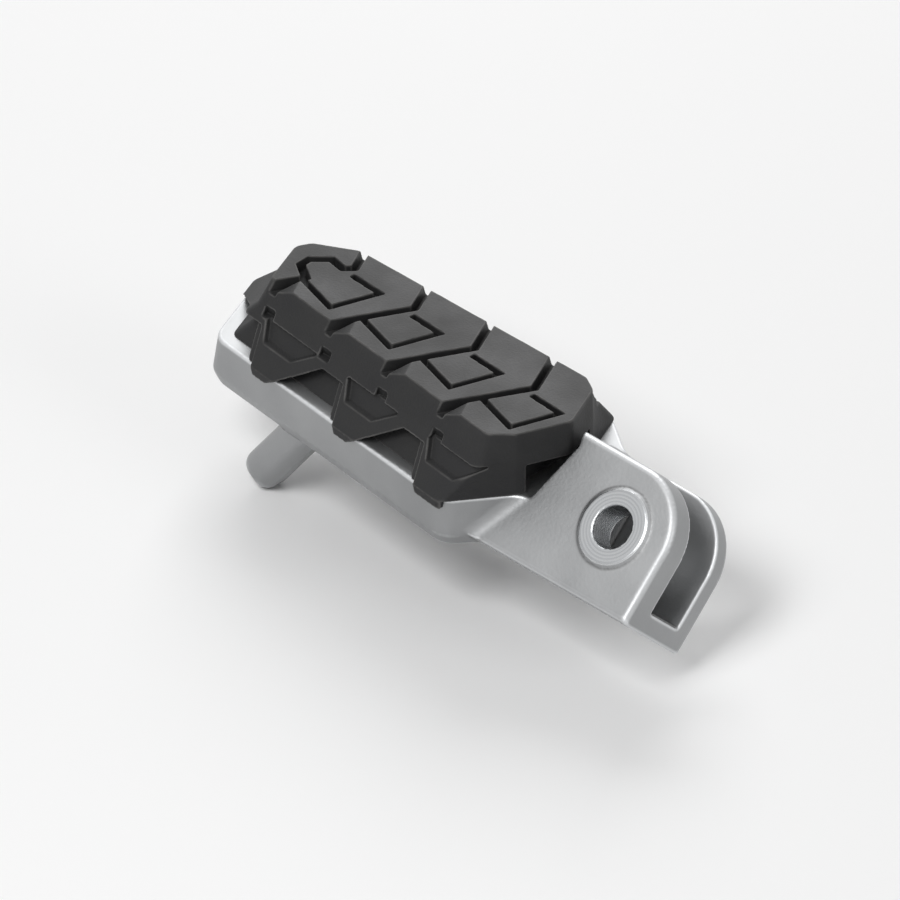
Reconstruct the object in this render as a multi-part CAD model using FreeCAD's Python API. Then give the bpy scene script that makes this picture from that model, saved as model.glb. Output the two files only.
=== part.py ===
import FreeCAD
import Part
import math
import os
from FreeCAD import Vector

# Folding motorcycle footpeg, right-hand side, in millimetres.
# Origin: on the hinge axis, inside the hinge tongue.
# +X points to the motorcycle, +Y to the rear, +Z up out of the tread.

# Hinge tongue
HINGE_TILT = 45.0            # hinge axis above the horizontal, in the YZ plane
BORE_RADIUS = 5.05           # running fit for a 10 mm hinge pin
TONGUE_RADIUS = 15.4         # round end of the tongue about the hinge
TONGUE_HEEL = 17.6           # hinge axis to the lower edge, the heel of the stop
TONGUE_FRONT = 10.8          # origin to the front face of the tongue
TONGUE_THICKNESS = 24.3
TONGUE_EDGE = 1.4            # rounding of the tongue's outline
NEAR_EAR = 7.2               # ear in front of the spring slot
SPRING_SLOT = 11.8           # slot for the return spring
SLOT_FLOOR = 12.0            # slot floor behind the hinge axis
SLOT_BASE = 12.6             # slot base below the hinge axis
SLOT_CORNER = 6.0
RING_RADIUS = 9.3            # raised ring round the bore
RING_HEIGHT = 0.9
RING_EDGE = 0.6              # chamfer of the ring's crest

# Cast tray that carries the pad
RIM_Z = 5.0                  # deck, where the pad sits
TRAY_DEPTH = 13.95
DECK_THICKNESS = 4.0
TRAY_WALL = 4.4
TRAY_EDGE = 4.0              # rounding of the lower edge, as two bevels
TRAY_CORNER = 6.0
SHOULDER_X = 37.0            # hinge to the near corner beside the neck
FAR_SHOULDER_X = 32.5
NOSE_X = 126.0               # hinge to the outer tip
NEAR_MOUNT_Y = 25.0          # front reach at the neck
NEAR_OUTER_Y = 15.7          # front reach at the outer end
FAR_MOUNT_Y = 24.6           # rear reach at the neck
FAR_OUTER_Y = 23.4           # rear reach at the outer end
NEAR_END_BACK = 8.2          # how far the front outer corner stands back from the tip
FAR_END_BACK = 17.0          # how far the rear outer corner stands back from the tip
NOSE_Y = 6.0                 # tip of the outer end, off the hinge axis
END_BULGE = 2.5              # fullness of the rear outer corner
END_DRAFT = 1.7              # how far the outer end leans out below the rim
NECK_X = 26.8                # hinge to the front end of the neck
NECK_FAR_X = 20.0            # hinge to the rear end of the neck
NECK_NEAR_Y = 11.1
NECK_FAR_Y = 16.5
GUSSET_X = 19.0              # where the underside of the tongue starts to rise
NECK_BLEND = 3.6             # hollow rounding between the neck and the tongue

# Ribs under the deck
RIB_THICKNESS = 3.0
CROSS_RIB_ROOM = 2.5         # between a washer and the cross ribs beside it
LONG_RIB_ROOM = 0.5          # between a washer and the long ribs
POCKET_START_X = 41.0        # where the solid root of the tongue ends

# Feeler under the outer end
FEELER_SIZE = 9.4
FEELER_EDGE = 3.6            # rounding along its sides
FEELER_TIP_EDGE = 3.4        # rounding of its tip
FEELER_LENGTH = 38.0
FEELER_TILT = 37.0
FEELER_TIP_X = 106.0
FEELER_Y = 12.4
FEELER_TIP_Z = 27.7
FEELER_BLEND = 5.0           # hollow rounding at its root, on the hinge side

# Rubber pad
PAD_TOP_Z = 21.6
SHOULDER_DROP = 7.0          # height of the shoulder below the top
SHOULDER_INSET = 3.0         # how far the shoulder leans in
SKIRT_INSET = 6.5            # how far the skirt leans in
END_EXTRA_INSET = 2.4        # further lean of the outer end
PAD_SHOULDER_X = 31.6        # hinge to the upper corners beside the neck
PAD_POINT_X = 21.8           # hinge to the blunt point at the neck
PAD_POINT_Y = 1.0
PAD_END_X = 27.0             # hinge to the two corners beside the point
PAD_END_NEAR_Y = 11.6
PAD_END_FAR_Y = 12.8
PAD_CORNER = 2.5
ROOT_GAP = 2.2               # between the pad's point and the root of the tongue
LIP_DROP = 2.0               # how far the skirt's lugs hang over the rim
LIP_STAND = 0.9              # how far they stand out from the tray
SEAT_CLEARANCE = 0.15
ARCH_HEIGHT = 7.4            # notch in the pad's end, over the root of the tongue
ARCH_WIDTH = 20.0
ARCH_START_Y = 9.2
ARCH_DEPTH = 3.0

# Tread grooves
BLOCK_PITCH = 20.3
BLOCKS = 4
GROOVE_WIDTH = 2.0
GROOVE_DEPTH = 3.2
FIRST_APEX_X = 97.6
FIRST_APEX_Y = 8.4
APEX_STEP_Y = 1.45           # how far each apex moves to the front
NEAR_LEG = (-0.472, -0.882)  # direction of a groove's long leg
FAR_LEG = (-0.42, 0.908)     # direction of its short leg
NEAR_LEG_LENGTH = 34.0
FAR_LEG_LENGTH = 22.0
FIRST_GROOVE_DETOUR = ((-5.2, -10.2), (-9.6, -7.4), (-9.6, -4.6), (-6.0, -1.2), (-1.8, -1.9))
SIPE_PATH = ((-5.6, -11.0), (6.7, -14.5), (10.8, -2.9), (1.5, -2.4))
SIPE_WIDTH = 1.5
SIPE_DEPTH = 2.2
CORNER_LENGTH = 5.6          # cut-off front corner of a block, along the pad's edge
CORNER_WIDTH = 5.0           # and along the groove
CORNER_OUT = 2.6             # lowest point of that cut, outside the edge
NICK_BACK = 1.2              # nick at the foot of the shoulder, beside the groove
NICK_LENGTH = 3.4
NICK_DEPTH = 1.2

# Sawtooth skirt
TOOTH_PITCH = 28.8
TEETH = 3
WINDOW_START_X = 124.6       # foot of the first window's slanted side
WINDOW_RUN = 11.2            # length of that side
WINDOW_TOP = 5.2             # length of the level top
WINDOW_BACK = 2.2            # lean of the steep side
WINDOW_HEIGHT = 7.1
WINDOW_DEPTH = 4.2
BAND_WIDTH = 2.0             # set-back edge of a lug, beside its steep side
BAND_DEPTH = 1.0
PANEL_START_X = 105.8
PANEL_TOP = 18.4
PANEL_FOOT_START = 2.4
PANEL_FOOT = 9.4
PANEL_HEIGHT = 4.0
PANEL_GAP = 0.9              # between a panel and the shoulder
PANEL_DEPTH = 1.6

# Backing plate, screws and washers
PLATE_THICKNESS = 2.5
PLATE_INSET = 10.0           # plate edge inside the tray's sides
PLATE_END_INSET = 9.0        # plate edge inside the pad's end
BOSS_RADIUS = 5.0
BOSS_HEIGHT = 4.5
SCREWS = 2
FIRST_SCREW_X = 58.0
SCREW_SPACING = 40.0
SCREW_Y = 2.0
THREAD_RADIUS = 3.0
THREAD_CLEARANCE = 0.05
SCREW_HOLE_CLEARANCE = 0.35
SCREW_LENGTH = 12.0
HEAD_RADIUS = 5.0
HEAD_HEIGHT = 5.0
HEAD_EDGE = 0.5
KEY_SIZE = 5.0
KEY_DEPTH = 2.8
WASHER_RADIUS = 6.0
WASHER_THICKNESS = 1.2
SCREW_PAD_RADIUS = 7.0
SCREW_PAD_HEIGHT = 1.0

REACH = 200.0                # longer than the part, for cuts that run right through
ARC_ROOM = 0.45              # most of a side that one rounded corner may use
TOUCH = 0.01                 # how close two heights count as the same

TRAY_BOTTOM = RIM_Z - TRAY_DEPTH
DECK_BOTTOM = RIM_Z - DECK_THICKNESS
SHOULDER_Z = PAD_TOP_Z - SHOULDER_DROP
NEAR_OUTER_X = NOSE_X - NEAR_END_BACK
FAR_OUTER_X = NOSE_X - FAR_END_BACK


# Outlines and simple solids

def rounded_wire(corners, radius, z):
    """Closed outline through the corners, each rounded by an arc."""
    count = len(corners)
    starts = []
    ends = []
    middles = []
    for i in range(count):
        here = Vector(*corners[i], z)
        to_last = Vector(*corners[i - 1], z) - here
        to_next = Vector(*corners[(i + 1) % count], z) - here
        half = to_last.getAngle(to_next) / 2
        room = ARC_ROOM * min(to_last.Length, to_next.Length)
        setback = min(radius / math.tan(half), room)
        to_last.normalize()
        to_next.normalize()
        bisector = (to_last + to_next).normalize()
        arc_radius = setback * math.tan(half)
        centre = here + bisector * (arc_radius / math.sin(half))
        starts.append(here + to_last * setback)
        ends.append(here + to_next * setback)
        middles.append(centre - bisector * arc_radius)
    edges = []
    for i in range(count):
        edges.append(Part.Arc(starts[i], middles[i], ends[i]).toShape())
        edges.append(Part.makeLine(ends[i], starts[(i + 1) % count]))
    return Part.Wire(edges)


def inset(corners, distances):
    """Corners of a clockwise outline after each side moves inwards by its own distance."""
    count = len(corners)
    moved = []
    for i in range(count):
        here = Vector(*corners[i], 0)
        along_last = (here - Vector(*corners[i - 1], 0)).normalize()
        along_next = (Vector(*corners[(i + 1) % count], 0) - here).normalize()
        (ax, ay) = (along_last.y, -along_last.x)
        (bx, by) = (along_next.y, -along_next.x)
        turn = ax * by - ay * bx
        (da, db) = (distances[i - 1], distances[i])
        moved.append((here.x + (da * by - db * ay) / turn, here.y + (db * ax - da * bx) / turn))
    return moved


def slab(wire, height):
    return Part.Face(wire).extrude(Vector(0, 0, height))


def prism(points, direction):
    """Straight prism on a flat polygon."""
    return Part.Face(Part.makePolygon(points + points[:1])).extrude(direction)


def channel(path, width, floor):
    """Square-sided groove along a path in plan, open at the top."""
    left = []
    right = []
    for i in range(len(path)):
        here = Vector(*path[i], floor)
        last = Vector(*path[max(i - 1, 0)], floor)
        following = Vector(*path[min(i + 1, len(path) - 1)], floor)
        along_last = here - last if i > 0 else following - here
        along_next = following - here if i < len(path) - 1 else here - last
        side_last = Vector(-along_last.y, along_last.x, 0).normalize()
        side_next = Vector(-along_next.y, along_next.x, 0).normalize()
        mitre = (side_last + side_next).normalize()
        reach = mitre * (width / 2 / mitre.dot(side_last))
        left.append(here + reach)
        right.append(here - reach)
    return prism(left + right[::-1], Vector(0, 0, REACH))


def hollow_blend(wall_point, wall_way, face_point, face_way, radius):
    """Solid that rounds off the hollow angle between a wall and a face, along their meeting line."""
    along = wall_way.cross(face_way).normalize()
    wall_part = face_way.cross(along) * wall_point.dot(wall_way)
    face_part = along.cross(wall_way) * face_point.dot(face_way)
    meeting = (wall_part + face_part) / wall_way.dot(face_way.cross(along))
    outward = (wall_way + face_way).normalize()
    centre = meeting + outward * (radius / outward.dot(wall_way))
    start = centre - wall_way * radius
    end = centre - face_way * radius
    buried = meeting - outward * radius / 2
    outline = Part.Wire([
        Part.makeLine(buried, start),
        Part.Arc(start, centre - outward * radius, end).toShape(),
        Part.makeLine(end, buried),
    ])
    web = Part.Face(outline).extrude(along * 2 * REACH)
    web.translate(along * -REACH)
    return web


# Plan outlines, clockwise from above, starting beside the neck

def tray_corners():
    return [
        (-NECK_X, -NECK_NEAR_Y),
        (-SHOULDER_X, -NEAR_MOUNT_Y),
        (-NEAR_OUTER_X, -NEAR_OUTER_Y),
        (-NOSE_X, NOSE_Y),
        (-(NOSE_X + FAR_OUTER_X) / 2 - END_BULGE, (NOSE_Y + FAR_OUTER_Y) / 2 + END_BULGE),
        (-FAR_OUTER_X, FAR_OUTER_Y),
        (-FAR_SHOULDER_X, FAR_MOUNT_Y),
        (-NECK_FAR_X, NECK_FAR_Y),
    ]


def side_y(corner, other, x):
    """Y of the straight side between two corners, at a place along the peg."""
    return corner[1] + (other[1] - corner[1]) * (x - corner[0]) / (other[0] - corner[0])


def pad_corners(lean, end_lean, shoulder_x, far_shoulder_x):
    """Pad outline: the tray's sides moved in, and a blunt point at the neck."""
    sides = inset(tray_corners(), [0, lean, end_lean, end_lean, end_lean, lean, 0, 0])[1:7]
    near = (-shoulder_x, side_y(sides[0], sides[1], -shoulder_x))
    far = (-far_shoulder_x, side_y(sides[4], sides[5], -far_shoulder_x))
    end = [(-PAD_END_X, PAD_END_FAR_Y), (-PAD_POINT_X, PAD_POINT_Y)]
    return [(-PAD_END_X, -PAD_END_NEAR_Y), near] + sides[1:5] + [far] + end


def foot_corners(sunk):
    return pad_corners(sunk - LIP_STAND, sunk - LIP_STAND, SHOULDER_X, FAR_SHOULDER_X)


def shoulder_corners(sunk):
    lean = SKIRT_INSET + sunk
    return pad_corners(lean, lean + END_EXTRA_INSET, PAD_SHOULDER_X, PAD_SHOULDER_X)


def top_corners():
    lean = SKIRT_INSET + SHOULDER_INSET
    return pad_corners(lean, lean + END_EXTRA_INSET, PAD_SHOULDER_X, PAD_SHOULDER_X)


# Peg body: tray, neck, tongue and feeler in one casting

def hinge_frame(shape):
    """Turns a shape from the tongue's own plane to the tilted hinge."""
    shape.rotate(Vector(0, 0, 0), Vector(1, 0, 0), 90 - HINGE_TILT)
    return shape


def tongue():
    root = -POCKET_START_X
    low = TONGUE_FRONT - TONGUE_THICKNESS
    round_end = []
    for k in range(5):
        angle = math.radians(90 * k / 4)
        round_end.append(Vector(TONGUE_RADIUS * math.cos(angle), TONGUE_RADIUS * math.sin(angle), low))
    (side, _, bend, _, crown) = round_end
    heel = Vector(TONGUE_RADIUS, -TONGUE_HEEL, low)
    back_top = Vector(root, TONGUE_RADIUS, low)
    back_heel = Vector(root, -TONGUE_HEEL, low)
    outline = Part.Wire([
        Part.makeLine(back_heel, heel),
        Part.makeLine(heel, side),
        Part.Arc(side, round_end[1], bend).toShape(),
        Part.Arc(bend, round_end[3], crown).toShape(),
        Part.makeLine(crown, back_top),
        Part.makeLine(back_top, back_heel),
    ])
    blade = slab(outline, TONGUE_THICKNESS)
    rims = [e for e in blade.Edges if e.BoundBox.ZLength < TOUCH and e.BoundBox.XMax > root + 1]
    blade = blade.makeFillet(TONGUE_EDGE, rims)
    for (face, way) in ((TONGUE_FRONT, 1), (low, -1)):
        base = Vector(0, 0, face - way * RING_HEIGHT)
        ring = Part.makeCylinder(RING_RADIUS, 2 * RING_HEIGHT, base, Vector(0, 0, way))
        crest = face + way * RING_HEIGHT
        edge = [e for e in ring.Edges if abs(e.BoundBox.Center.z - crest) < TOUCH]
        blade = blade.fuse(ring.makeChamfer(RING_EDGE, edge))
    return blade


def spring_slot():
    """Deep slot between the two ears, open at the top and at the end."""
    low = TONGUE_FRONT - NEAR_EAR - SPRING_SLOT
    floor = -SLOT_FLOOR
    base = -SLOT_BASE
    bend = SLOT_CORNER * (1 - math.cos(math.pi / 4))
    start = Vector(floor, base + SLOT_CORNER, low)
    knee = Vector(floor + bend, base + bend, low)
    finish = Vector(floor + SLOT_CORNER, base, low)
    mouth = Vector(REACH, base, low)
    sky = Vector(REACH, REACH, low)
    behind = Vector(floor, REACH, low)
    outline = Part.Wire([
        Part.Arc(start, knee, finish).toShape(),
        Part.makeLine(finish, mouth),
        Part.makeLine(mouth, sky),
        Part.makeLine(sky, behind),
        Part.makeLine(behind, start),
    ])
    return slab(outline, SPRING_SLOT)


def pad_room():
    """Room for the pad above the deck, up to the root of the tongue."""
    point = -PAD_POINT_X + ROOT_GAP
    slant = (PAD_END_X - PAD_POINT_X) / PAD_END_FAR_Y
    wing = point - slant * REACH
    points = [
        Vector(point, PAD_POINT_Y, RIM_Z),
        Vector(wing, PAD_POINT_Y + REACH, RIM_Z),
        Vector(-2 * REACH, PAD_POINT_Y + REACH, RIM_Z),
        Vector(-2 * REACH, PAD_POINT_Y - REACH, RIM_Z),
        Vector(wing, PAD_POINT_Y - REACH, RIM_Z),
    ]
    return prism(points, Vector(0, 0, REACH))


def gusset_relief():
    """Everything below the rising underside of the tongue's root."""
    tilt = math.radians(HINGE_TILT)
    back = TONGUE_THICKNESS - TONGUE_FRONT
    low = -TONGUE_HEEL * math.cos(tilt) - back * math.sin(tilt)
    rise = (TRAY_BOTTOM - low) / (POCKET_START_X - GUSSET_X)
    points = [
        Vector(-GUSSET_X, -REACH, low),
        Vector(-GUSSET_X - REACH, -REACH, low + REACH * rise),
        Vector(-GUSSET_X - REACH, -REACH, -REACH),
        Vector(-GUSSET_X, -REACH, -REACH),
    ]
    return prism(points, Vector(0, 2 * REACH, 0))


def screw_places():
    return [Vector(-FIRST_SCREW_X - i * SCREW_SPACING, SCREW_Y, 0) for i in range(SCREWS)]


def rib_solids():
    """Two long ribs past the screws, a cross rib on both sides of each screw, and the screw pads."""
    along = WASHER_RADIUS + LONG_RIB_ROOM + RIB_THICKNESS / 2
    across = WASHER_RADIUS + CROSS_RIB_ROOM + RIB_THICKNESS / 2
    solids = []
    for way in (1, -1):
        y = SCREW_Y + way * along - RIB_THICKNESS / 2
        solids.append(Part.makeBox(REACH, RIB_THICKNESS, REACH, Vector(-REACH, y, -REACH / 2)))
        for place in screw_places():
            x = place.x + way * across - RIB_THICKNESS / 2
            solids.append(Part.makeBox(RIB_THICKNESS, REACH, REACH, Vector(x, -REACH / 2, -REACH / 2)))
    for place in screw_places():
        seat = place + Vector(0, 0, DECK_BOTTOM - SCREW_PAD_HEIGHT)
        solids.append(Part.makeCylinder(SCREW_PAD_RADIUS, REACH, seat))
    return solids


def tray():
    corners = tray_corners()
    half_way = TRAY_EDGE * (1 - math.cos(math.pi / 4))
    outlines = []
    for (lean, height) in ((TRAY_EDGE, 0), (half_way, half_way), (0, TRAY_EDGE)):
        leans = [lean] * len(corners)
        leans[2] -= END_DRAFT
        outlines.append(rounded_wire(inset(corners, leans), TRAY_CORNER, TRAY_BOTTOM + height))
    rim = rounded_wire(corners, TRAY_CORNER, RIM_Z)
    block = Part.makeLoft(outlines + [rim], True, True)
    walls = inset(corners, [TRAY_WALL] * len(corners))
    hollow = slab(rounded_wire(walls, TRAY_CORNER, TRAY_BOTTOM), DECK_BOTTOM - TRAY_BOTTOM)
    beyond = Vector(-POCKET_START_X, -REACH, -REACH)
    hollow = hollow.cut(Part.makeBox(REACH, 2 * REACH, 2 * REACH, beyond))
    return block.cut(hollow.cut(rib_solids()))


def feeler():
    half = FEELER_SIZE / 2
    bar = Part.makeBox(FEELER_SIZE, FEELER_SIZE, FEELER_LENGTH, Vector(-half, -half, 0))
    sides = [e for e in bar.Edges if e.BoundBox.ZLength > TOUCH]
    bar = bar.makeFillet(FEELER_EDGE, sides)
    tip = [e for e in bar.Edges if e.BoundBox.ZMax < TOUCH]
    bar = bar.makeFillet(FEELER_TIP_EDGE, tip)
    bar.rotate(Vector(0, 0, 0), Vector(0, 1, 0), FEELER_TILT)
    tip_place = Vector(-FEELER_TIP_X, -FEELER_Y, -FEELER_TIP_Z)
    bar.translate(tip_place)
    above = Part.makeBox(2 * REACH, 2 * REACH, REACH, Vector(-REACH, -REACH, DECK_BOTTOM))
    tilt = math.radians(FEELER_TILT)
    side = Vector(math.cos(tilt), 0, -math.sin(tilt))
    floor = Vector(0, 0, TRAY_BOTTOM)
    web = hollow_blend(floor, Vector(0, 0, -1), tip_place + side * half, side, FEELER_BLEND)
    width = FEELER_SIZE - FEELER_EDGE
    room = Part.makeBox(2 * REACH, width, 2 * REACH, Vector(-REACH, -FEELER_Y - width / 2, -REACH))
    return bar.fuse(web.common(room)).cut(above)


def outer_way(corner, other):
    """Outward direction of the tray's wall between two corners of its outline."""
    return Vector(corner[1] - other[1], other[0] - corner[0], 0).normalize()


def neck_blends():
    """Hollow rounding where the neck's two slanted walls meet the tongue."""
    corners = tray_corners()
    tilt = math.radians(HINGE_TILT)
    front = Vector(0, -math.cos(tilt), math.sin(tilt))
    crown = Vector(0, math.sin(tilt), math.cos(tilt))
    near = hollow_blend(Vector(*corners[0], 0), outer_way(corners[0], corners[1]),
                        front * TONGUE_FRONT, front, NECK_BLEND)
    far = hollow_blend(Vector(*corners[7], 0), outer_way(corners[6], corners[7]),
                       crown * TONGUE_RADIUS, crown, NECK_BLEND)
    height = TRAY_DEPTH - TRAY_EDGE
    room = Part.makeBox(REACH, 2 * REACH, height, Vector(-REACH, -REACH, RIM_Z - height))
    low = Vector(-REACH, -TONGUE_HEEL, TONGUE_FRONT - TONGUE_THICKNESS)
    room = room.common(hinge_frame(Part.makeBox(REACH, REACH, REACH, low)))
    return [near.common(room), far.common(room)]


def peg_body():
    arm = hinge_frame(tongue()).cut([pad_room(), gusset_relief()])
    body = tray().fuse([arm, feeler()] + neck_blends())
    bore = Part.makeCylinder(BORE_RADIUS, 2 * REACH, Vector(0, 0, -REACH))
    cuts = [hinge_frame(bore), hinge_frame(spring_slot())]
    for place in screw_places():
        foot = place - Vector(0, 0, REACH)
        cuts.append(Part.makeCylinder(THREAD_RADIUS + SCREW_HOLE_CLEARANCE, 2 * REACH, foot))
    return body.cut(cuts).removeSplitter()


# Backing plate moulded into the foot of the pad, with threaded bosses

def plate_blank():
    corners = tray_corners()
    sides = inset(corners, [PLATE_INSET] * len(corners))[1:7]
    start = -PAD_END_X - PLATE_END_INSET
    near = (start, side_y(sides[0], sides[1], start))
    far = (start, side_y(sides[4], sides[5], start))
    plate = slab(rounded_wire([near] + sides[1:5] + [far], PAD_CORNER, RIM_Z), PLATE_THICKNESS)
    bosses = []
    for place in screw_places():
        base = place + Vector(0, 0, RIM_Z)
        bosses.append(Part.makeCylinder(BOSS_RADIUS, PLATE_THICKNESS + BOSS_HEIGHT, base))
    return plate.fuse(bosses).removeSplitter()


def thread_cores():
    height = RIM_Z + PLATE_THICKNESS + BOSS_HEIGHT
    return [Part.makeCylinder(THREAD_RADIUS + THREAD_CLEARANCE, height, p) for p in screw_places()]


def pad_plate():
    return plate_blank().cut(thread_cores())


# Rubber pad: tread blocks, sipes and a sawtooth skirt

def pad_block(sunk):
    """Skirt and shoulder, moved in by a depth, up to a flat top."""
    low = rounded_wire(foot_corners(sunk), PAD_CORNER, RIM_Z - LIP_DROP)
    foot = rounded_wire(foot_corners(sunk), PAD_CORNER, RIM_Z)
    shoulder = rounded_wire(shoulder_corners(sunk), PAD_CORNER, SHOULDER_Z)
    top = rounded_wire(top_corners(), PAD_CORNER, PAD_TOP_Z)
    return Part.makeLoft([low, foot, shoulder, top], True, True)


def apex(i):
    return (-FIRST_APEX_X + i * BLOCK_PITCH, FIRST_APEX_Y - i * APEX_STEP_Y)


def moved(point, offset):
    return (point[0] + offset[0], point[1] + offset[1])


def groove_cuts():
    """Chevron grooves across the top; the first one goes round the outer block's island."""
    cuts = []
    for i in range(BLOCKS):
        tip = apex(i)
        near = moved(tip, (NEAR_LEG[0] * NEAR_LEG_LENGTH, NEAR_LEG[1] * NEAR_LEG_LENGTH))
        far = moved(tip, (FAR_LEG[0] * FAR_LEG_LENGTH, FAR_LEG[1] * FAR_LEG_LENGTH))
        detour = [moved(tip, offset) for offset in FIRST_GROOVE_DETOUR] if i == 0 else []
        cuts.append(channel([near] + detour + [tip, far], GROOVE_WIDTH, PAD_TOP_Z - GROOVE_DEPTH))
    return cuts


def sipe_cuts():
    """Narrow U in each block, open to the groove beside it."""
    cuts = []
    for i in range(BLOCKS):
        path = [moved(apex(i), offset) for offset in SIPE_PATH]
        cuts.append(channel(path, SIPE_WIDTH, PAD_TOP_Z - SIPE_DEPTH))
    return cuts


def groove_mouth(i):
    """Where a groove's long leg crosses the front edge of the top."""
    top = top_corners()
    slope = (top[2][1] - top[1][1]) / (top[2][0] - top[1][0])
    tip = apex(i)
    drop = side_y(top[1], top[2], tip[0]) - tip[1]
    reach = drop / (NEAR_LEG[1] - slope * NEAR_LEG[0])
    return Vector(tip[0] + NEAR_LEG[0] * reach, tip[1] + NEAR_LEG[1] * reach, PAD_TOP_Z)


def corner_cuts():
    """Each block's front corner cut off on a slant, and a nick at the foot of the shoulder below."""
    top = top_corners()
    shoulder = shoulder_corners(0)
    leg = Vector(*NEAR_LEG, 0)
    across = Vector(-NEAR_LEG[1], NEAR_LEG[0], 0)
    cuts = []
    for i in range(BLOCKS):
        mouth = groove_mouth(i)
        x = mouth.x + CORNER_LENGTH
        on_edge = Vector(x, side_y(top[1], top[2], x), PAD_TOP_Z)
        on_groove = mouth - leg * CORNER_WIDTH + across * (GROOVE_WIDTH / 2)
        outside = mouth + leg * CORNER_OUT
        lowest = outside - Vector(0, 0, GROOVE_DEPTH)
        base = Part.makePolygon([on_edge, on_groove, outside, on_edge])
        cuts.append(Part.makeLoft([base, Part.Vertex(lowest)], True, True))
        x = mouth.x - NICK_BACK
        foot = side_y(shoulder[1], shoulder[2], x)
        nick = [
            Vector(x, foot + NICK_DEPTH, SHOULDER_Z - NICK_DEPTH),
            Vector(x, foot - REACH, SHOULDER_Z - NICK_DEPTH),
            Vector(x, foot - REACH, SHOULDER_Z + NICK_DEPTH),
            Vector(x, foot + NICK_DEPTH / 2, SHOULDER_Z + NICK_DEPTH),
        ]
        cuts.append(prism(nick, Vector(NICK_LENGTH, 0, 0)))
    return cuts


def both_sides(outline):
    """A skirt recess, drawn from the side and cut into the front and the rear."""
    return [prism(outline, Vector(0, way * REACH, 0)) for way in (-1, 1)]


def window_cuts():
    """Windows between the skirt's lugs, and the set-back edge of the lug beside each window."""
    core = pad_block(WINDOW_DEPTH)
    band_core = pad_block(BAND_DEPTH)
    low = RIM_Z - LIP_DROP
    high = RIM_Z + WINDOW_HEIGHT
    side_slope = WINDOW_RUN / WINDOW_HEIGHT
    back_slope = WINDOW_BACK / WINDOW_HEIGHT
    cuts = []
    for i in range(TEETH):
        x = -WINDOW_START_X + i * TOOTH_PITCH
        heel = x + WINDOW_RUN + WINDOW_TOP
        foot = heel + back_slope * (high - low)
        outline = [
            Vector(x - side_slope * LIP_DROP, 0, low),
            Vector(x + WINDOW_RUN, 0, high),
            Vector(heel, 0, high),
            Vector(foot, 0, low),
        ]
        band = [
            Vector(heel, 0, high),
            Vector(heel + BAND_WIDTH, 0, high),
            Vector(foot + BAND_WIDTH, 0, low),
            Vector(foot, 0, low),
        ]
        cuts += [cutter.cut(core) for cutter in both_sides(outline)]
        cuts += [cutter.cut(band_core) for cutter in both_sides(band)]
    return cuts


def panel_cuts():
    """Shallow panels on the lugs, under the shoulder."""
    core = pad_block(PANEL_DEPTH)
    high = SHOULDER_Z - PANEL_GAP
    low = high - PANEL_HEIGHT
    cuts = []
    for i in range(TEETH):
        x = -PANEL_START_X + i * TOOTH_PITCH
        outline = [
            Vector(x, 0, high),
            Vector(x + PANEL_FOOT_START, 0, low),
            Vector(x + PANEL_FOOT_START + PANEL_FOOT, 0, low),
            Vector(x + PANEL_TOP, 0, high),
        ]
        cuts += [cutter.cut(core) for cutter in both_sides(outline)]
    return cuts


def seat_cuts():
    """The tray, with its clearance, the backing plate and the arch over the tongue's root."""
    corners = inset(tray_corners(), [-SEAT_CLEARANCE] * len(tray_corners()))
    deck = slab(rounded_wire(corners, TRAY_CORNER, RIM_Z - REACH), REACH)
    arch = Part.makeBox(REACH, ARCH_WIDTH, ARCH_HEIGHT + REACH,
                        Vector(-PAD_END_X - ARCH_DEPTH, -ARCH_START_Y, RIM_Z - REACH))
    end_lip = Part.makeBox(REACH, 2 * REACH, REACH, Vector(-SHOULDER_X, -REACH, RIM_Z - REACH))
    nose_lip = Part.makeBox(REACH, 2 * REACH, REACH, Vector(-NEAR_OUTER_X - REACH, -REACH, RIM_Z - REACH))
    return [deck, arch, end_lip, nose_lip, plate_blank()] + thread_cores()


def tread_rubber():
    pad = pad_block(0)
    for cuts in (seat_cuts(), window_cuts(), panel_cuts(), corner_cuts(), groove_cuts(), sipe_cuts()):
        pad = pad.cut(cuts)
    return pad.removeSplitter()


# Screws and washers under the deck

def washer_top():
    return DECK_BOTTOM - SCREW_PAD_HEIGHT


def pad_washers():
    washers = []
    for place in screw_places():
        base = place + Vector(0, 0, washer_top() - WASHER_THICKNESS)
        disc = Part.makeCylinder(WASHER_RADIUS, WASHER_THICKNESS, base)
        hole = Part.makeCylinder(THREAD_RADIUS + SCREW_HOLE_CLEARANCE, WASHER_THICKNESS, base)
        washers.append(disc.cut(hole))
    return Part.makeCompound(washers)


def pad_screws():
    """Socket-head screws driven up through the deck into the plate's bosses."""
    screws = []
    for place in screw_places():
        seat = place + Vector(0, 0, washer_top() - WASHER_THICKNESS)
        head = Part.makeCylinder(HEAD_RADIUS, HEAD_HEIGHT, seat - Vector(0, 0, HEAD_HEIGHT))
        rim = [e for e in head.Edges if abs(e.BoundBox.ZMax - seat.z + HEAD_HEIGHT) < TOUCH]
        head = head.makeChamfer(HEAD_EDGE, rim)
        shank = Part.makeCylinder(THREAD_RADIUS, SCREW_LENGTH, seat)
        key_corner = KEY_SIZE / math.sqrt(3)
        foot = seat - Vector(0, 0, HEAD_HEIGHT)
        ring = []
        for k in range(6):
            angle = math.radians(60 * k)
            ring.append(foot + Vector(key_corner * math.cos(angle), key_corner * math.sin(angle), 0))
        key = prism(ring, Vector(0, 0, KEY_DEPTH))
        screws.append(head.fuse(shank).cut(key).removeSplitter())
    return Part.makeCompound(screws)


os.makedirs("parts", exist_ok=True)
peg_body().exportStep("parts/peg_body.step")
tread_rubber().exportStep("parts/tread_rubber.step")
pad_plate().exportStep("parts/pad_plate.step")
pad_screws().exportStep("parts/pad_screws.step")
pad_washers().exportStep("parts/pad_washers.step")
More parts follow.
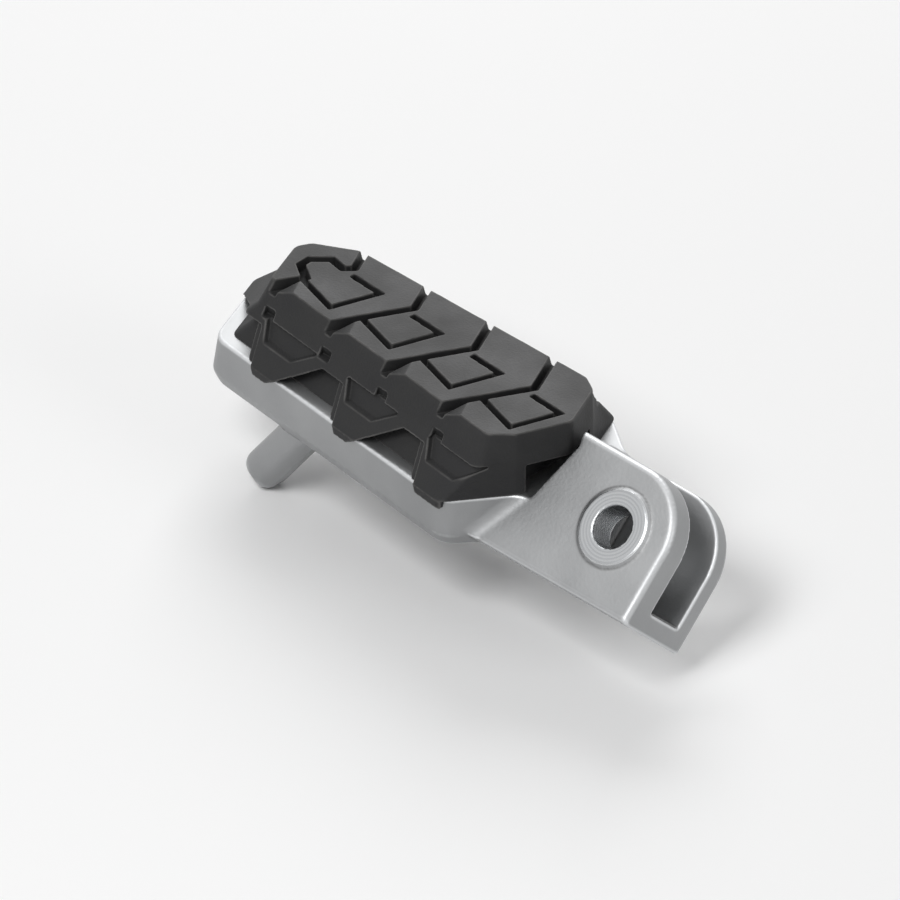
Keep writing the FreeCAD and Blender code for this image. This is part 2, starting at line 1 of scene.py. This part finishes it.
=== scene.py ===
import math

import bmesh
import bpy
import numpy as np
from mathutils import Matrix, Vector


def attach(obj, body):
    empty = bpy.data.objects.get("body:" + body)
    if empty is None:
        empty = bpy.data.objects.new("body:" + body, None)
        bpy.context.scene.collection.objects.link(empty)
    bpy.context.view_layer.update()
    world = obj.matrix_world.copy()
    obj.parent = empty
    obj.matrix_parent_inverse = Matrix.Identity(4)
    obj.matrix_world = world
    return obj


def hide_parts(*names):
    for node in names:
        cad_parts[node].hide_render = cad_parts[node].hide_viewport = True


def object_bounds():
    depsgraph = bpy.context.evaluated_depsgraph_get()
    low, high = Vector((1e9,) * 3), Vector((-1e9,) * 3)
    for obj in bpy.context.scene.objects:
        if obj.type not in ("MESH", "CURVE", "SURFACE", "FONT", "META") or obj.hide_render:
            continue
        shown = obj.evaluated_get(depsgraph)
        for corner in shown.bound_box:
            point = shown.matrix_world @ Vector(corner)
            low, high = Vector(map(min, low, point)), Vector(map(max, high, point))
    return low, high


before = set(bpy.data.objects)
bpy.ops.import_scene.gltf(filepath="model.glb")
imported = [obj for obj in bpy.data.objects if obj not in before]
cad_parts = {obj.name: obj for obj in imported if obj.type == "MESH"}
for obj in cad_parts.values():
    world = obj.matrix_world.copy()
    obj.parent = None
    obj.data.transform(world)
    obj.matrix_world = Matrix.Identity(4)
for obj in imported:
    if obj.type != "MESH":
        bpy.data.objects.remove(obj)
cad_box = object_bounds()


# Peg body: tray, neck, slotted tongue and feeler in one gravity casting of aluminium.
# It is tumbled and bead blasted after trimming, so every edge is a little round and the
# skin is an even satin grey. The bore and the rings round it are then machined.

WELD = 2e-6                  # points closer than this are one
CAST_FINENESS = 0.00030      # size of the skin's smallest facets
CAST_TUMBLING = 12           # passes that round the edges
CAST_KEPT = 0.28             # share of facets kept, fewest on flat faces
ROUNDING_STEP = 0.5          # how far a pass moves a point towards its neighbours
CAST_EDGE = 0.0016           # radius of the most worn edges
WEAR_AND_SHADE_PASSES = 2              # passes that even out the edge wear and the painted corner shade
WEAR_AND_SHADE_START = 0.25            # where edge wear, and painted shade in a corner, begin to show
WEAR_AND_SHADE_FULL = 0.9              # where edge wear and painted corner shade show in full
KNIFE_EDGE = 8.0             # wear at which an edge is as thin as a blade
KNIFE_REACH = 7              # facets beside a blade that are eased with it
KNIFE_PASSES = 40            # passes that ease the blades
NOISE_LOW = 0.3              # most of a noise lies between these two
NOISE_HIGH = 0.7
CAST_COLOUR = (0.30, 0.305, 0.31, 1)
CAST_CLOUD_COLOUR = (0.36, 0.365, 0.37, 1)
CAST_EDGE_COLOUR = (0.60, 0.61, 0.62, 1)
# painted shade laid into the casting's inner corners
CAST_PAINTED_SHADE_COLOUR = (0.15, 0.15, 0.15, 1)
CAST_CLOUD = 55.0            # slow change of the skin, per metre
CAST_CLOUD_DETAIL = 5
CAST_GRAIN = 1200.0          # blasted grain, per metre
CAST_GRAIN_DETAIL = 6
CAST_GRAIN_HEIGHT = 0.00013
CAST_GRAIN_STRENGTH = 0.35
CAST_ROUGHNESS = (0.44, 0.56)
HINGE_TILT = math.radians(45)
TONGUE_MIDDLE = -0.00135     # middle of the tongue's thickness, along the hinge
BORE_REACH = 0.0057          # machined wall of the bore
RING_REACH = 0.0088          # machined crest of the ring
CREST_LEVEL = 0.01285        # from the tongue's middle to just below a ring's crest
CUT_EDGE = 0.00015           # where the machined metal ends
MACHINED_COLOUR = (0.52, 0.53, 0.54, 1)
MACHINED_MARK_COLOUR = (0.40, 0.41, 0.42, 1)
MACHINED_ROUGHNESS = (0.24, 0.32)
TOOL_MARKS = 390.0           # feed marks on the crests and in the bore, 0.8 mm apart
TOOL_WANDER = 0.6            # how uneven the feed was
TOOL_MARK_HEIGHT = 0.07      # as a share of the blasted grain's height


def applied(piece):
    """Turns what a piece's modifiers make into its own mesh."""
    bpy.context.view_layer.update()
    finished = piece.evaluated_get(bpy.context.evaluated_depsgraph_get())
    piece.data = bpy.data.meshes.new_from_object(finished)
    piece.data.name = piece.name
    piece.modifiers.clear()


def add_wear_and_shade(piece, tightest):
    """Attribute for the finishes: 1 on worn outer edges, -1 for painted shade in inner corners,
    0 on flat skin.

    Edges as thin as a blade also become a vertex group.
    """
    mesh = piece.data
    count = len(mesh.vertices)
    places = np.empty(3 * count, np.float32)
    mesh.vertices.foreach_get("co", places)
    places = places.reshape(-1, 3)
    normals = np.empty(3 * count, np.float32)
    mesh.vertices.foreach_get("normal", normals)
    normals = normals.reshape(-1, 3)
    ends = np.empty(2 * len(mesh.edges), np.int32)
    mesh.edges.foreach_get("vertices", ends)
    (one, other) = (ends[0::2], ends[1::2])
    links = np.bincount(one, minlength=count) + np.bincount(other, minlength=count)
    run = places[other] - places[one]
    bend = ((normals[other] - normals[one]) * run).sum(1) / (run * run).sum(1)
    curve = (np.bincount(one, bend, count) + np.bincount(other, bend, count)) / links
    for _ in range(WEAR_AND_SHADE_PASSES):
        around = np.bincount(one, curve[other], count) + np.bincount(other, curve[one], count)
        curve = (curve + around / links) / 2
    wear_and_shade = mesh.attributes.new("wear_and_shade", "FLOAT", "POINT")
    wear_and_shade.data.foreach_set("value", np.clip(curve * tightest, -1, 1).astype(np.float32))
    thin = curve * tightest > KNIFE_EDGE
    for _ in range(KNIFE_REACH):
        near = thin.copy()
        near[one[thin[other]]] = True
        near[other[thin[one]]] = True
        thin = near
    if thin.any():
        blades = piece.vertex_groups.new(name="knife_edges")
        blades.add(np.flatnonzero(thin).tolist(), 1.0, "REPLACE")


def rounded_copy(node, name, fineness, passes, kept, tightest):
    """Copy of a CAD node as a piece of its own, with its edges and inner corners rounded."""
    shape = bmesh.new()
    shape.from_mesh(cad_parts[node].data)
    bmesh.ops.remove_doubles(shape, verts=shape.verts, dist=WELD)
    mesh = bpy.data.meshes.new(name)
    shape.to_mesh(mesh)
    shape.free()
    piece = bpy.data.objects.new(name, mesh)
    bpy.context.scene.collection.objects.link(piece)
    skin = piece.modifiers.new("even_skin", "REMESH")
    skin.mode = "VOXEL"
    skin.voxel_size = fineness
    rounding = piece.modifiers.new("rounded_edges", "SMOOTH")
    rounding.factor = ROUNDING_STEP
    rounding.iterations = passes
    applied(piece)
    add_wear_and_shade(piece, tightest)
    if piece.vertex_groups:
        easing = piece.modifiers.new("eased_blades", "SMOOTH")
        easing.factor = ROUNDING_STEP
        easing.iterations = KNIFE_PASSES
        easing.vertex_group = "knife_edges"
    thinning = piece.modifiers.new("fewer_facets", "DECIMATE")
    thinning.ratio = kept
    applied(piece)
    piece.vertex_groups.clear()
    piece.data.shade_smooth()
    even = piece.modifiers.new("even_normals", "WEIGHTED_NORMAL")
    even.keep_sharp = True
    return piece


def new_finish(name):
    """New node material, with its tree, shader and object coordinates."""
    finish = bpy.data.materials.new(name)
    finish.use_nodes = True
    tree = finish.node_tree
    place = tree.nodes.new("ShaderNodeTexCoord").outputs["Object"]
    return finish, tree, tree.nodes["Principled BSDF"], place


def noise(tree, place, scale, detail):
    """Noise on object coordinates."""
    cloud = tree.nodes.new("ShaderNodeTexNoise")
    cloud.inputs["Scale"].default_value = scale
    cloud.inputs["Detail"].default_value = detail
    tree.links.new(place, cloud.inputs["Vector"])
    return cloud.outputs["Fac"]


def spread(tree, value, low, high, from_low=NOISE_LOW, from_high=NOISE_HIGH):
    """Carries a value from one range, a noise's unless given, to another."""
    span = tree.nodes.new("ShaderNodeMapRange")
    span.inputs["From Min"].default_value = from_low
    span.inputs["From Max"].default_value = from_high
    span.inputs["To Min"].default_value = low
    span.inputs["To Max"].default_value = high
    tree.links.new(value, span.inputs["Value"])
    return span.outputs["Result"]


def paint(tree, amount, under, over):
    """Lays one colour over another by an amount. Each colour may also be a socket."""
    mix = tree.nodes.new("ShaderNodeMix")
    mix.data_type = "RGBA"
    tree.links.new(amount, mix.inputs["Factor"])
    for (name, colour) in (("A", under), ("B", over)):
        if isinstance(colour, tuple):
            mix.inputs[name].default_value = colour
        else:
            tree.links.new(colour, mix.inputs[name])
    return mix.outputs["Result"]


def reckon(tree, operation, first, second=None):
    """Reckons with one or two values. The second may also be a number."""
    step = tree.nodes.new("ShaderNodeMath")
    step.operation = operation
    tree.links.new(first, step.inputs[0])
    if isinstance(second, float):
        step.inputs[1].default_value = second
    elif second is not None:
        tree.links.new(second, step.inputs[1])
    return step.outputs["Value"]


def blended(tree, amount, under, over):
    """Goes from one value to another by an amount."""
    mix = tree.nodes.new("ShaderNodeMix")
    tree.links.new(amount, mix.inputs["Factor"])
    tree.links.new(under, mix.inputs["A"])
    tree.links.new(over, mix.inputs["B"])
    return mix.outputs["Result"]


def raised(tree, shader, height, distance, strength):
    """Drives the shader's normal from a height."""
    bump = tree.nodes.new("ShaderNodeBump")
    bump.inputs["Distance"].default_value = distance
    bump.inputs["Strength"].default_value = strength
    tree.links.new(height, bump.inputs["Height"])
    tree.links.new(bump.outputs["Normal"], shader.inputs["Normal"])


def wear_and_shade_level(tree, start, full):
    """How far an edge is worn, or how deep a corner's painted shade is, from 0 where it starts
    to 1 where it is full.
    """
    wear_and_shade = tree.nodes.new("ShaderNodeAttribute")
    wear_and_shade.attribute_name = "wear_and_shade"
    if full > start:
        return spread(tree, wear_and_shade.outputs["Fac"], 0, 1, start, full)
    return spread(tree, wear_and_shade.outputs["Fac"], 1, 0, full, start)


cast_skin, tree, shader, place = new_finish("cast_aluminium")
shader.inputs["Metallic"].default_value = 1.0
cloud = noise(tree, place, CAST_CLOUD, CAST_CLOUD_DETAIL)
on_edge = wear_and_shade_level(tree, WEAR_AND_SHADE_START, WEAR_AND_SHADE_FULL)
# Painted shade: darker colour laid into the casting's inner corners.
corner_shade = wear_and_shade_level(tree, -WEAR_AND_SHADE_START, -WEAR_AND_SHADE_FULL)
skin_colour = paint(tree, spread(tree, cloud, 0, 1), CAST_COLOUR, CAST_CLOUD_COLOUR)
worn_colour = paint(tree, on_edge, skin_colour, CAST_EDGE_COLOUR)
shaded_cast_colour = paint(tree, corner_shade, worn_colour, CAST_PAINTED_SHADE_COLOUR)

along_hinge = tree.nodes.new("ShaderNodeMapping")
along_hinge.inputs["Rotation"].default_value = (-HINGE_TILT, 0, 0)
tree.links.new(place, along_hinge.inputs["Vector"])
hinge_place = tree.nodes.new("ShaderNodeSeparateXYZ")
tree.links.new(along_hinge.outputs["Vector"], hinge_place.inputs["Vector"])
across_hinge = tree.nodes.new("ShaderNodeCombineXYZ")
tree.links.new(hinge_place.outputs["X"], across_hinge.inputs["X"])
tree.links.new(hinge_place.outputs["Y"], across_hinge.inputs["Y"])
from_axis = tree.nodes.new("ShaderNodeVectorMath")
from_axis.operation = "LENGTH"
tree.links.new(across_hinge.outputs["Vector"], from_axis.inputs[0])
off_axis = from_axis.outputs["Value"]
from_middle = reckon(tree, "SUBTRACT", hinge_place.outputs["Z"], TONGUE_MIDDLE)
off_middle = reckon(tree, "ABSOLUTE", from_middle)
in_bore = spread(tree, off_axis, 1, 0, BORE_REACH, BORE_REACH + CUT_EDGE)
in_ring = spread(tree, off_axis, 1, 0, RING_REACH, RING_REACH + CUT_EDGE)
on_crest = spread(tree, off_middle, 0, 1, CREST_LEVEL - CUT_EDGE, CREST_LEVEL)
machined = reckon(tree, "MAXIMUM", in_bore, reckon(tree, "MULTIPLY", in_ring, on_crest))

tool_path = tree.nodes.new("ShaderNodeCombineXYZ")
tree.links.new(reckon(tree, "ADD", off_axis, off_middle), tool_path.inputs["X"])
wave = tree.nodes.new("ShaderNodeTexWave")
wave.inputs["Scale"].default_value = TOOL_MARKS
wave.inputs["Distortion"].default_value = TOOL_WANDER
tree.links.new(tool_path.outputs["Vector"], wave.inputs["Vector"])
marks = wave.outputs["Fac"]
machined_colour = paint(tree, marks, MACHINED_COLOUR, MACHINED_MARK_COLOUR)
tree.links.new(paint(tree, machined, shaded_cast_colour, machined_colour), shader.inputs["Base Color"])
cast_roughness = spread(tree, cloud, *CAST_ROUGHNESS)
machined_roughness = spread(tree, marks, *MACHINED_ROUGHNESS, 0, 1)
roughness = blended(tree, machined, cast_roughness, machined_roughness)
tree.links.new(roughness, shader.inputs["Roughness"])
cast_grain = noise(tree, place, CAST_GRAIN, CAST_GRAIN_DETAIL)
machined_grain = spread(tree, marks, 0, TOOL_MARK_HEIGHT, 0, 1)
grain = blended(tree, machined, cast_grain, machined_grain)
raised(tree, shader, grain, CAST_GRAIN_HEIGHT, CAST_GRAIN_STRENGTH)

peg_casting = rounded_copy("peg_body", "peg_casting", CAST_FINENESS, CAST_TUMBLING,
                           CAST_KEPT, CAST_EDGE)
peg_casting.data.materials.append(cast_skin)
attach(peg_casting, "root")
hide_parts("peg_body")


# Backing plate: pressed steel sheet with two threaded bosses, phosphated dark grey.
# The pad's rubber is moulded onto it and hides nearly all of it.

PLATE_COLOUR = (0.10, 0.105, 0.11, 1)
PLATE_CRYSTAL_COLOUR = (0.16, 0.165, 0.17, 1)
PLATE_METAL = 0.8            # share of bare metal under the phosphate
PLATE_CRYSTALS = 400.0       # per metre
PLATE_CRYSTAL_DETAIL = 4
PLATE_CRYSTAL_HEIGHT = 0.00005
PLATE_CRYSTAL_STRENGTH = 0.3
PLATE_ROUGHNESS = (0.5, 0.65)

plate_skin, tree, shader, place = new_finish("phosphated_steel")
shader.inputs["Metallic"].default_value = PLATE_METAL
crystals = noise(tree, place, PLATE_CRYSTALS, PLATE_CRYSTAL_DETAIL)
plate_colour = paint(tree, crystals, PLATE_COLOUR, PLATE_CRYSTAL_COLOUR)
tree.links.new(plate_colour, shader.inputs["Base Color"])
tree.links.new(spread(tree, crystals, *PLATE_ROUGHNESS), shader.inputs["Roughness"])
raised(tree, shader, crystals, PLATE_CRYSTAL_HEIGHT, PLATE_CRYSTAL_STRENGTH)
backing_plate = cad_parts["pad_plate"]
backing_plate.data.materials.clear()
backing_plate.data.materials.append(plate_skin)


# Tread pad: black rubber moulded in one piece over the backing plate, with chevron
# blocks, U-shaped sipes, a sawtooth skirt and lugs that hang over the tray's rim.
# Boots have polished its top a little and scuffed its edges grey.

PAD_FINENESS = 0.00020       # size of the skin's smallest facets
PAD_ROUNDING = 8             # passes that round the edges
PAD_KEPT = 0.22              # share of facets kept
PAD_EDGE = 0.0010            # radius of the most worn edges
PAD_COLOUR = (0.014, 0.014, 0.015, 1)
PAD_CLOUD_COLOUR = (0.024, 0.024, 0.024, 1)
PAD_SCUFF_COLOUR = (0.090, 0.088, 0.086, 1)
# painted shade laid into the pad's inner corners
PAD_PAINTED_SHADE_COLOUR = (0.007, 0.007, 0.007, 1)
PAD_SHEEN = 0.32
PAD_CLOUD = 80.0             # slow change of the skin, per metre
PAD_CLOUD_DETAIL = 5
PAD_SCUFFS = 220.0           # scuffs along the edges, per metre
PAD_SCUFF_DETAIL = 4
PAD_SCUFF_LEAST = 0.2        # least scuffed stretch of an edge
PAD_GRAIN = 1700.0           # grain of the mould, per metre
PAD_GRAIN_DETAIL = 4
PAD_GRAIN_HEIGHT = 0.00014
PAD_GRAIN_STRENGTH = 0.55
PAD_ROUGHNESS = (0.46, 0.60)
PAD_UNPOLISHED = 0.10        # how much rougher it is below the polished top
POLISHED_FROM = 0.0200       # height of the polished top, in metres
POLISHED_TO = 0.0214

pad_skin, tree, shader, place = new_finish("moulded_rubber")
shader.inputs["Specular IOR Level"].default_value = PAD_SHEEN
cloud = noise(tree, place, PAD_CLOUD, PAD_CLOUD_DETAIL)
pad_colour = paint(tree, spread(tree, cloud, 0, 1), PAD_COLOUR, PAD_CLOUD_COLOUR)
patches = spread(tree, noise(tree, place, PAD_SCUFFS, PAD_SCUFF_DETAIL), PAD_SCUFF_LEAST, 1)
scuffs = reckon(tree, "MULTIPLY", wear_and_shade_level(tree, WEAR_AND_SHADE_START, WEAR_AND_SHADE_FULL), patches)
scuffed_colour = paint(tree, scuffs, pad_colour, PAD_SCUFF_COLOUR)
# Painted shade: darker colour laid into the pad's inner corners.
corner_shade = wear_and_shade_level(tree, -WEAR_AND_SHADE_START, -WEAR_AND_SHADE_FULL)
shaded_rubber_colour = paint(tree, corner_shade, scuffed_colour, PAD_PAINTED_SHADE_COLOUR)
tree.links.new(shaded_rubber_colour, shader.inputs["Base Color"])
heights = tree.nodes.new("ShaderNodeSeparateXYZ")
tree.links.new(place, heights.inputs["Vector"])
unpolished = spread(tree, heights.outputs["Z"], PAD_UNPOLISHED, 0, POLISHED_FROM, POLISHED_TO)
roughness = reckon(tree, "ADD", spread(tree, cloud, *PAD_ROUGHNESS), unpolished)
tree.links.new(roughness, shader.inputs["Roughness"])
grain = noise(tree, place, PAD_GRAIN, PAD_GRAIN_DETAIL)
raised(tree, shader, grain, PAD_GRAIN_HEIGHT, PAD_GRAIN_STRENGTH)

tread_pad = rounded_copy("tread_rubber", "tread_pad", PAD_FINENESS, PAD_ROUNDING,
                         PAD_KEPT, PAD_EDGE)
tread_pad.data.materials.append(pad_skin)
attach(tread_pad, "root")
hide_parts("tread_rubber")


# Washers: two stamped plain washers of zinc-plated steel between the deck and the screw
# heads, with the slightly rolled edge that stamping leaves.

SCREW_PLACES = ((-0.058, 0.002), (-0.098, 0.002))
WASHER_RADIUS = 0.0060
WASHER_HOLE = 0.00335
WASHER_TOP = 0.0
WASHER_THICKNESS = 0.0012
WASHER_ROLL = 0.00025        # rolled edge
WASHER_ROLL_STEPS = 3
WASHER_STEPS = 64
WASHER_CORNER = math.radians(60)
WASHER_CREASE = math.radians(40)
ZINC_COLOUR = (0.50, 0.52, 0.54, 1)
ZINC_SPANGLE_COLOUR = (0.64, 0.65, 0.66, 1)
ZINC_SPANGLE = 350.0         # per metre
ZINC_SPANGLE_DETAIL = 4
ZINC_SPANGLE_HEIGHT = 0.00002
ZINC_SPANGLE_STRENGTH = 0.3
ZINC_ROUGHNESS = (0.24, 0.38)

zinc_skin, tree, shader, place = new_finish("zinc_plated_steel")
shader.inputs["Metallic"].default_value = 1.0
spangle = noise(tree, place, ZINC_SPANGLE, ZINC_SPANGLE_DETAIL)
zinc_colour = paint(tree, spangle, ZINC_COLOUR, ZINC_SPANGLE_COLOUR)
tree.links.new(zinc_colour, shader.inputs["Base Color"])
tree.links.new(spread(tree, spangle, *ZINC_ROUGHNESS), shader.inputs["Roughness"])
raised(tree, shader, spangle, ZINC_SPANGLE_HEIGHT, ZINC_SPANGLE_STRENGTH)


def finished_piece(shape, name, crease, skin):
    """Closes a mesh into a piece that rides on the peg."""
    bmesh.ops.recalc_face_normals(shape, faces=shape.faces)
    mesh = bpy.data.meshes.new(name)
    shape.to_mesh(mesh)
    shape.free()
    mesh.shade_smooth()
    mesh.set_sharp_from_angle(angle=crease)
    mesh.materials.append(skin)
    piece = bpy.data.objects.new(name, mesh)
    bpy.context.scene.collection.objects.link(piece)
    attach(piece, "root")
    return piece


shape = bmesh.new()
for (x, y) in SCREW_PLACES:
    low = WASHER_TOP - WASHER_THICKNESS
    corners = ((WASHER_HOLE, low), (WASHER_RADIUS, low),
               (WASHER_RADIUS, WASHER_TOP), (WASHER_HOLE, WASHER_TOP))
    section = [shape.verts.new((x + radius, y, z)) for (radius, z) in corners]
    sides = [shape.edges.new((section[i - 1], section[i])) for i in range(len(section))]
    bmesh.ops.spin(shape, geom=section + sides, cent=(x, y, 0), axis=(0, 0, 1),
                   angle=math.tau, steps=WASHER_STEPS, use_merge=True)
bmesh.ops.remove_doubles(shape, verts=shape.verts, dist=WELD)
rims = [e for e in shape.edges if e.is_manifold and e.calc_face_angle() > WASHER_CORNER]
bmesh.ops.bevel(shape, geom=rims, offset=WASHER_ROLL, offset_type="OFFSET", affect="EDGES",
                segments=WASHER_ROLL_STEPS, profile=0.5, material=-1)
washers = finished_piece(shape, "washers", WASHER_CREASE, zinc_skin)
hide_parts("pad_washers")


# Screws: two socket-head cap screws of zinc-plated steel, driven up through the deck into
# the bosses of the backing plate. The head is knurled, with a hexagonal socket, and the
# thread is drawn as plain rings.

HEAD_RADIUS = 0.0050
HEAD_HEIGHT = 0.0050
HEAD_CHAMFER = 0.0005
HEAD_CHAMFER_STEPS = 2
HEAD_MARGIN = 0.001          # room round a head where nothing else is
KNURL_RIDGES = 54
KNURL_HEIGHT = 0.00012
CORE_RADIUS = HEAD_RADIUS - KNURL_HEIGHT
UPRIGHT = 0.1                # a face that leans less than this is a side of the head
SOCKET_RADIUS = 0.00289      # centre to corner of the hexagon
SOCKET_SIDES = 6
SOCKET_DEPTH = 0.0028
SOCKET_TIP = SOCKET_RADIUS / 4   # left by the drill's point
SHANK_RADIUS = 0.0030
SHANK_LENGTH = 0.0120
SHANK_ROOT = 0.0005          # foot of the shank, inside the head
SHANK_STEPS = 24
THREAD_PITCH = 0.0010
THREAD_DEPTH = 0.00035
SCREW_CREASE = math.radians(30)


def height(face):
    """Height of a face's middle."""
    return face.calc_center_median().z


shape = bmesh.new()
for (x, y) in SCREW_PLACES:
    seat = WASHER_TOP - WASHER_THICKNESS
    foot = seat - HEAD_HEIGHT
    middle = Matrix.Translation((x, y, seat - HEAD_HEIGHT / 2))
    head = bmesh.ops.create_cone(shape, cap_ends=True, segments=KNURL_RIDGES,
                                 radius1=CORE_RADIUS, radius2=CORE_RADIUS,
                                 depth=HEAD_HEIGHT, matrix=middle)["verts"]
    lower = min((f for v in head for f in v.link_faces), key=height)
    bmesh.ops.bevel(shape, geom=list(lower.edges), offset=HEAD_CHAMFER, offset_type="OFFSET",
                    affect="EDGES", segments=HEAD_CHAMFER_STEPS, profile=0.5, material=-1)
    axis = Vector((x, y))
    near = [f for f in shape.faces
            if (f.calc_center_median().xy - axis).length < HEAD_RADIUS + HEAD_MARGIN]
    sides = [f for f in near if abs(f.normal.z) < UPRIGHT]
    bmesh.ops.inset_individual(shape, faces=sides, thickness=KNURL_HEIGHT, depth=KNURL_HEIGHT)
    caps = [f for f in near if f.is_valid and len(f.verts) == KNURL_RIDGES]
    lower = min(caps, key=height)
    outer = list(lower.edges)
    bmesh.ops.delete(shape, geom=[lower], context="FACES_ONLY")
    hexagon = bmesh.ops.create_circle(shape, segments=SOCKET_SIDES, radius=SOCKET_RADIUS,
                                      matrix=Matrix.Translation((x, y, foot)))["verts"]
    inner = list(dict.fromkeys(e for v in hexagon for e in v.link_edges))
    bmesh.ops.bridge_loops(shape, edges=outer + inner)
    walls = bmesh.ops.extrude_edge_only(shape, edges=inner)["geom"]
    deep = [v for v in walls if isinstance(v, bmesh.types.BMVert)]
    bmesh.ops.translate(shape, verts=deep, vec=(0, 0, SOCKET_DEPTH))
    bottom = bmesh.ops.contextual_create(shape, geom=deep)["faces"]
    bmesh.ops.poke(shape, faces=bottom, offset=-SOCKET_TIP)
    section = [shape.verts.new((x, y, seat - SHANK_ROOT)),
               shape.verts.new((x + SHANK_RADIUS, y, seat - SHANK_ROOT)),
               shape.verts.new((x + SHANK_RADIUS, y, seat))]
    for turn in range(int(SHANK_LENGTH / THREAD_PITCH)):
        z = seat + turn * THREAD_PITCH
        valley = (x + SHANK_RADIUS - THREAD_DEPTH, y, z + THREAD_PITCH / 2)
        crest = (x + SHANK_RADIUS, y, z + THREAD_PITCH)
        section += [shape.verts.new(valley), shape.verts.new(crest)]
    section.append(shape.verts.new((x, y, seat + SHANK_LENGTH)))
    runs = [shape.edges.new(pair) for pair in zip(section, section[1:])]
    bmesh.ops.spin(shape, geom=section + runs, cent=(x, y, 0), axis=(0, 0, 1),
                   angle=math.tau, steps=SHANK_STEPS, use_merge=True)
bmesh.ops.remove_doubles(shape, verts=shape.verts, dist=WELD)
screws = finished_piece(shape, "screws", SCREW_CREASE, zinc_skin)
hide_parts("pad_screws")


# Floor, lamps and camera: a plain pale studio floor just under the feeler's tip, soft
# light from large lamps, and the drawing's isometric view.

FLOOR_COLOUR = (0.94, 0.94, 0.94, 1)
FLOOR_ROUGHNESS = 0.9
FLOOR_SIZE = 2.5
FLOOR_GAP = 0.0004
VIEW_TARGET = Vector((-0.0477, -0.0116, 0.0070))
VIEW_WAY = Vector((1, -1, 1)).normalized()
VIEW_WIDTH = 0.200
VIEW_DISTANCE = 0.8
SKY_COLOUR = (1, 1, 1, 1)
SKY_STRENGTH = 0.24
BACKDROP = 0.92              # what the camera and the metal see past the floor
LAMPS = (                    # name, place, size in metres and power in watts
    ("key_lamp", (0.08, -0.66, 0.90), 0.45, 6.6),
    ("side_lamp", (0.85, 0.10, 0.50), 0.40, 1.2),
    ("back_lamp", (-0.60, 0.60, 0.65), 0.60, 5.2),
)

shape = bmesh.new()
bmesh.ops.create_grid(shape, x_segments=1, y_segments=1, size=FLOOR_SIZE,
                      matrix=Matrix.Translation((0, 0, cad_box[0].z - FLOOR_GAP)))
mesh = bpy.data.meshes.new("floor")
shape.to_mesh(mesh)
shape.free()
floor = bpy.data.objects.new("floor", mesh)
bpy.context.scene.collection.objects.link(floor)
floor_skin, _, shader, _ = new_finish("studio_floor")
shader.inputs["Base Color"].default_value = FLOOR_COLOUR
shader.inputs["Roughness"].default_value = FLOOR_ROUGHNESS
floor.data.materials.append(floor_skin)

for (name, spot, size, power) in LAMPS:
    light = bpy.data.lights.new(name, "AREA")
    light.size = size
    light.energy = power
    lamp = bpy.data.objects.new(name, light)
    lamp.location = spot
    lamp.rotation_euler = (VIEW_TARGET - Vector(spot)).to_track_quat("-Z", "Y").to_euler()
    bpy.context.scene.collection.objects.link(lamp)

world = bpy.data.worlds.new("studio")
world.use_nodes = True
tree = world.node_tree
sky = tree.nodes["Background"]
sky.inputs["Color"].default_value = SKY_COLOUR
ray = tree.nodes.new("ShaderNodeLightPath")
mirrored = reckon(tree, "MAXIMUM", ray.outputs["Is Glossy Ray"],
                  ray.outputs["Is Transmission Ray"])
seen = reckon(tree, "MAXIMUM", ray.outputs["Is Camera Ray"], mirrored)
tree.links.new(spread(tree, seen, SKY_STRENGTH, BACKDROP, 0, 1), sky.inputs["Strength"])
bpy.context.scene.world = world

view = bpy.data.cameras.new("view")
view.type = "ORTHO"
view.ortho_scale = VIEW_WIDTH
camera = bpy.data.objects.new("view", view)
camera.location = VIEW_TARGET + VIEW_WAY * VIEW_DISTANCE
camera.rotation_euler = (-VIEW_WAY).to_track_quat("-Z", "Y").to_euler()
bpy.context.scene.collection.objects.link(camera)
bpy.context.scene.camera = camera
bpy.context.scene.view_settings.view_transform = "Standard"
